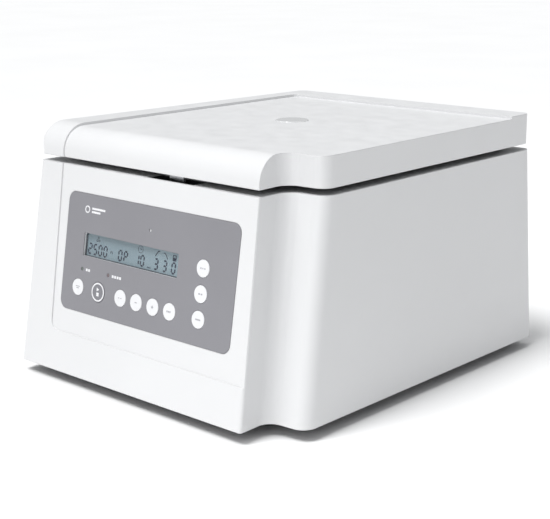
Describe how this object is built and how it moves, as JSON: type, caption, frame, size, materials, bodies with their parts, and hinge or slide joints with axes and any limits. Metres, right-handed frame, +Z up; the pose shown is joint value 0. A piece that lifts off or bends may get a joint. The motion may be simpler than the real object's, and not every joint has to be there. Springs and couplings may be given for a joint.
{
  "type": "laboratory centrifuge",
  "caption": "Bench-top laboratory centrifuge with a hinged lid, an angle rotor in a steel chamber, and a leaning control panel with a display and round keys.",
  "frame": {"origin": "on the bench, under the middle of the casing", "axes": "+Z up, the control panel faces -Y, +X to the operator's right"},
  "size_m": [0.3082, 0.366, 0.2186],
  "materials": {
    "casing_white": "satin paint on a moulded shell",
    "steel_pan": "brushed sheet",
    "foot_rubber": "matt rubber",
    "screw_steel": "turned and plated steel",
    "panel_grey": "printed film",
    "clear_window": "clear acrylic",
    "lcd_module": "moulded frame",
    "lcd_face": "back-lit display glass",
    "key_white": "satin key caps",
    "key_grey": "satin key cap",
    "board_green": "resin board",
    "black_plastic": "moulded plastic",
    "nylon_white": "moulded plastic",
    "lamp_green": "clear tinted dome",
    "lamp_red": "clear tinted dome",
    "bowl_steel": "deep-drawn stainless sheet",
    "motor_paint": "satin enamel",
    "motor_core": "stacked laminations",
    "rotor_aluminium": "turned and anodised",
    "sleeve_nylon": "moulded plastic",
    "nut_aluminium": "turned",
    "can_blue": "sleeved can and wound coil",
    "pin_brass": "plated pins",
    "fuse_glass": "clear tube"
  },
  "bodies": {
    "housing": {"base_plate": "steel_pan", "board_posts": "nylon_white", "capacitors": "can_blue", "chamber_bowl": "bowl_steel", "chamber_gasket": "foot_rubber", "control_board": "board_green", "control_membrane": "panel_grey", "damper_mounts": "foot_rubber", "foot_front_left": "foot_rubber", "foot_front_right": "foot_rubber", "foot_rear_left": "foot_rubber", "foot_rear_right": "foot_rubber", "foot_screws": "screw_steel", "fuse_holder": "black_plastic", "heat_sink": "rotor_aluminium", "hinge_bracket_left": "screw_steel", "hinge_bracket_right": "screw_steel", "hinge_pins": "screw_steel", "inlet_pins": "pin_brass", "key_switches": "black_plastic", "lamp_run": "lamp_green", "lamp_stop": "lamp_red", "latch_housing": "black_plastic", "latch_solenoid": "can_blue", "lcd_frame": "lcd_module", "lcd_glass": "lcd_face", "lcd_window": "clear_window", "motor_bearings": "screw_steel", "motor_plate": "steel_pan", "motor_stator": "motor_paint", "outer_casing": "casing_white", "power_board": "board_green", "power_inlet": "black_plastic", "rear_screws": "screw_steel", "rocker_frame": "black_plastic", "service_plate": "steel_pan"},
    "lid": {"lid_shell": "casing_white", "port_disc": "clear_window", "lid_liner": "nylon_white", "lid_hook": "screw_steel", "hinge_arm_left": "screw_steel", "hinge_arm_right": "screw_steel"},
    "rotor": {"motor_shaft": "screw_steel", "motor_armature": "motor_core", "angle_rotor": "rotor_aluminium", "tube_sleeves": "sleeve_nylon"},
    "rotor_nut": {"rotor_nut": "nut_aluminium"},
    "latch_bolt": {"latch_bolt": "screw_steel"},
    "fuse_drawer": {"fuse_drawer": "black_plastic", "fuses": "fuse_glass"},
    "rocker_switch": {"rocker_switch": "black_plastic"},
    "key_down": {"key_down": "key_white"},
    "key_mode": {"key_mode": "key_white"},
    "key_open": {"key_open": "key_white"},
    "key_pulse": {"key_pulse": "key_white"},
    "key_set": {"key_set": "key_white"},
    "key_short": {"key_short": "key_white"},
    "key_start_stop": {"key_start_stop": "key_grey"},
    "key_unit": {"key_unit": "key_white"},
    "key_up": {"key_up": "key_white"}
  },
  "joints": [
    {"name": "lid_hinge", "type": "hinge", "parent": "housing", "child": "lid", "pos_m": [0, 0.1796, 0.1897], "axis": [-1, 0, 0], "range_deg": [0, 75]},
    {"name": "rotor_spin", "type": "hinge", "parent": "housing", "child": "rotor", "pos_m": [-0.004, 0.012, 0.1], "axis": [0, 0, 1], "continuous": true},
    {"name": "rotor_nut_turn", "type": "hinge", "parent": "rotor", "child": "rotor_nut", "pos_m": [-0.004, 0.012, 0.14], "axis": [0, 0, 1], "continuous": true},
    {"name": "latch_bolt_slide", "type": "slide", "parent": "housing", "child": "latch_bolt", "axis": [0, -1, 0], "range_m": [0, 0.007]},
    {"name": "fuse_drawer_slide", "type": "slide", "parent": "housing", "child": "fuse_drawer", "axis": [0, 0.9993, 0.0369], "range_m": [0, 0.018]},
    {"name": "rocker_tilt", "type": "hinge", "parent": "housing", "child": "rocker_switch", "pos_m": [-0.092, 0.17455, 0.05472], "axis": [-1, 0, 0], "range_deg": [0, 8]},
    {"name": "key_down_press", "type": "slide", "parent": "housing", "child": "key_down", "axis": [0, 0.9865, -0.1638], "range_m": [0, 0.0005], "stiffness_N_per_m": 400},
    {"name": "key_mode_press", "type": "slide", "parent": "housing", "child": "key_mode", "axis": [0, 0.9865, -0.1638], "range_m": [0, 0.0005], "stiffness_N_per_m": 400},
    {"name": "key_open_press", "type": "slide", "parent": "housing", "child": "key_open", "axis": [0, 0.9865, -0.1638], "range_m": [0, 0.0005], "stiffness_N_per_m": 400},
    {"name": "key_pulse_press", "type": "slide", "parent": "housing", "child": "key_pulse", "axis": [0, 0.9865, -0.1638], "range_m": [0, 0.0005], "stiffness_N_per_m": 400},
    {"name": "key_set_press", "type": "slide", "parent": "housing", "child": "key_set", "axis": [0, 0.9865, -0.1638], "range_m": [0, 0.0005], "stiffness_N_per_m": 400},
    {"name": "key_short_press", "type": "slide", "parent": "housing", "child": "key_short", "axis": [0, 0.9865, -0.1638], "range_m": [0, 0.0005], "stiffness_N_per_m": 400},
    {"name": "key_start_stop_press", "type": "slide", "parent": "housing", "child": "key_start_stop", "axis": [0, 0.9865, -0.1638], "range_m": [0, 0.0005], "stiffness_N_per_m": 400},
    {"name": "key_unit_press", "type": "slide", "parent": "housing", "child": "key_unit", "axis": [0, 0.9865, -0.1638], "range_m": [0, 0.0005], "stiffness_N_per_m": 400},
    {"name": "key_up_press", "type": "slide", "parent": "housing", "child": "key_up", "axis": [0, 0.9865, -0.1638], "range_m": [0, 0.0005], "stiffness_N_per_m": 400}
  ]
}
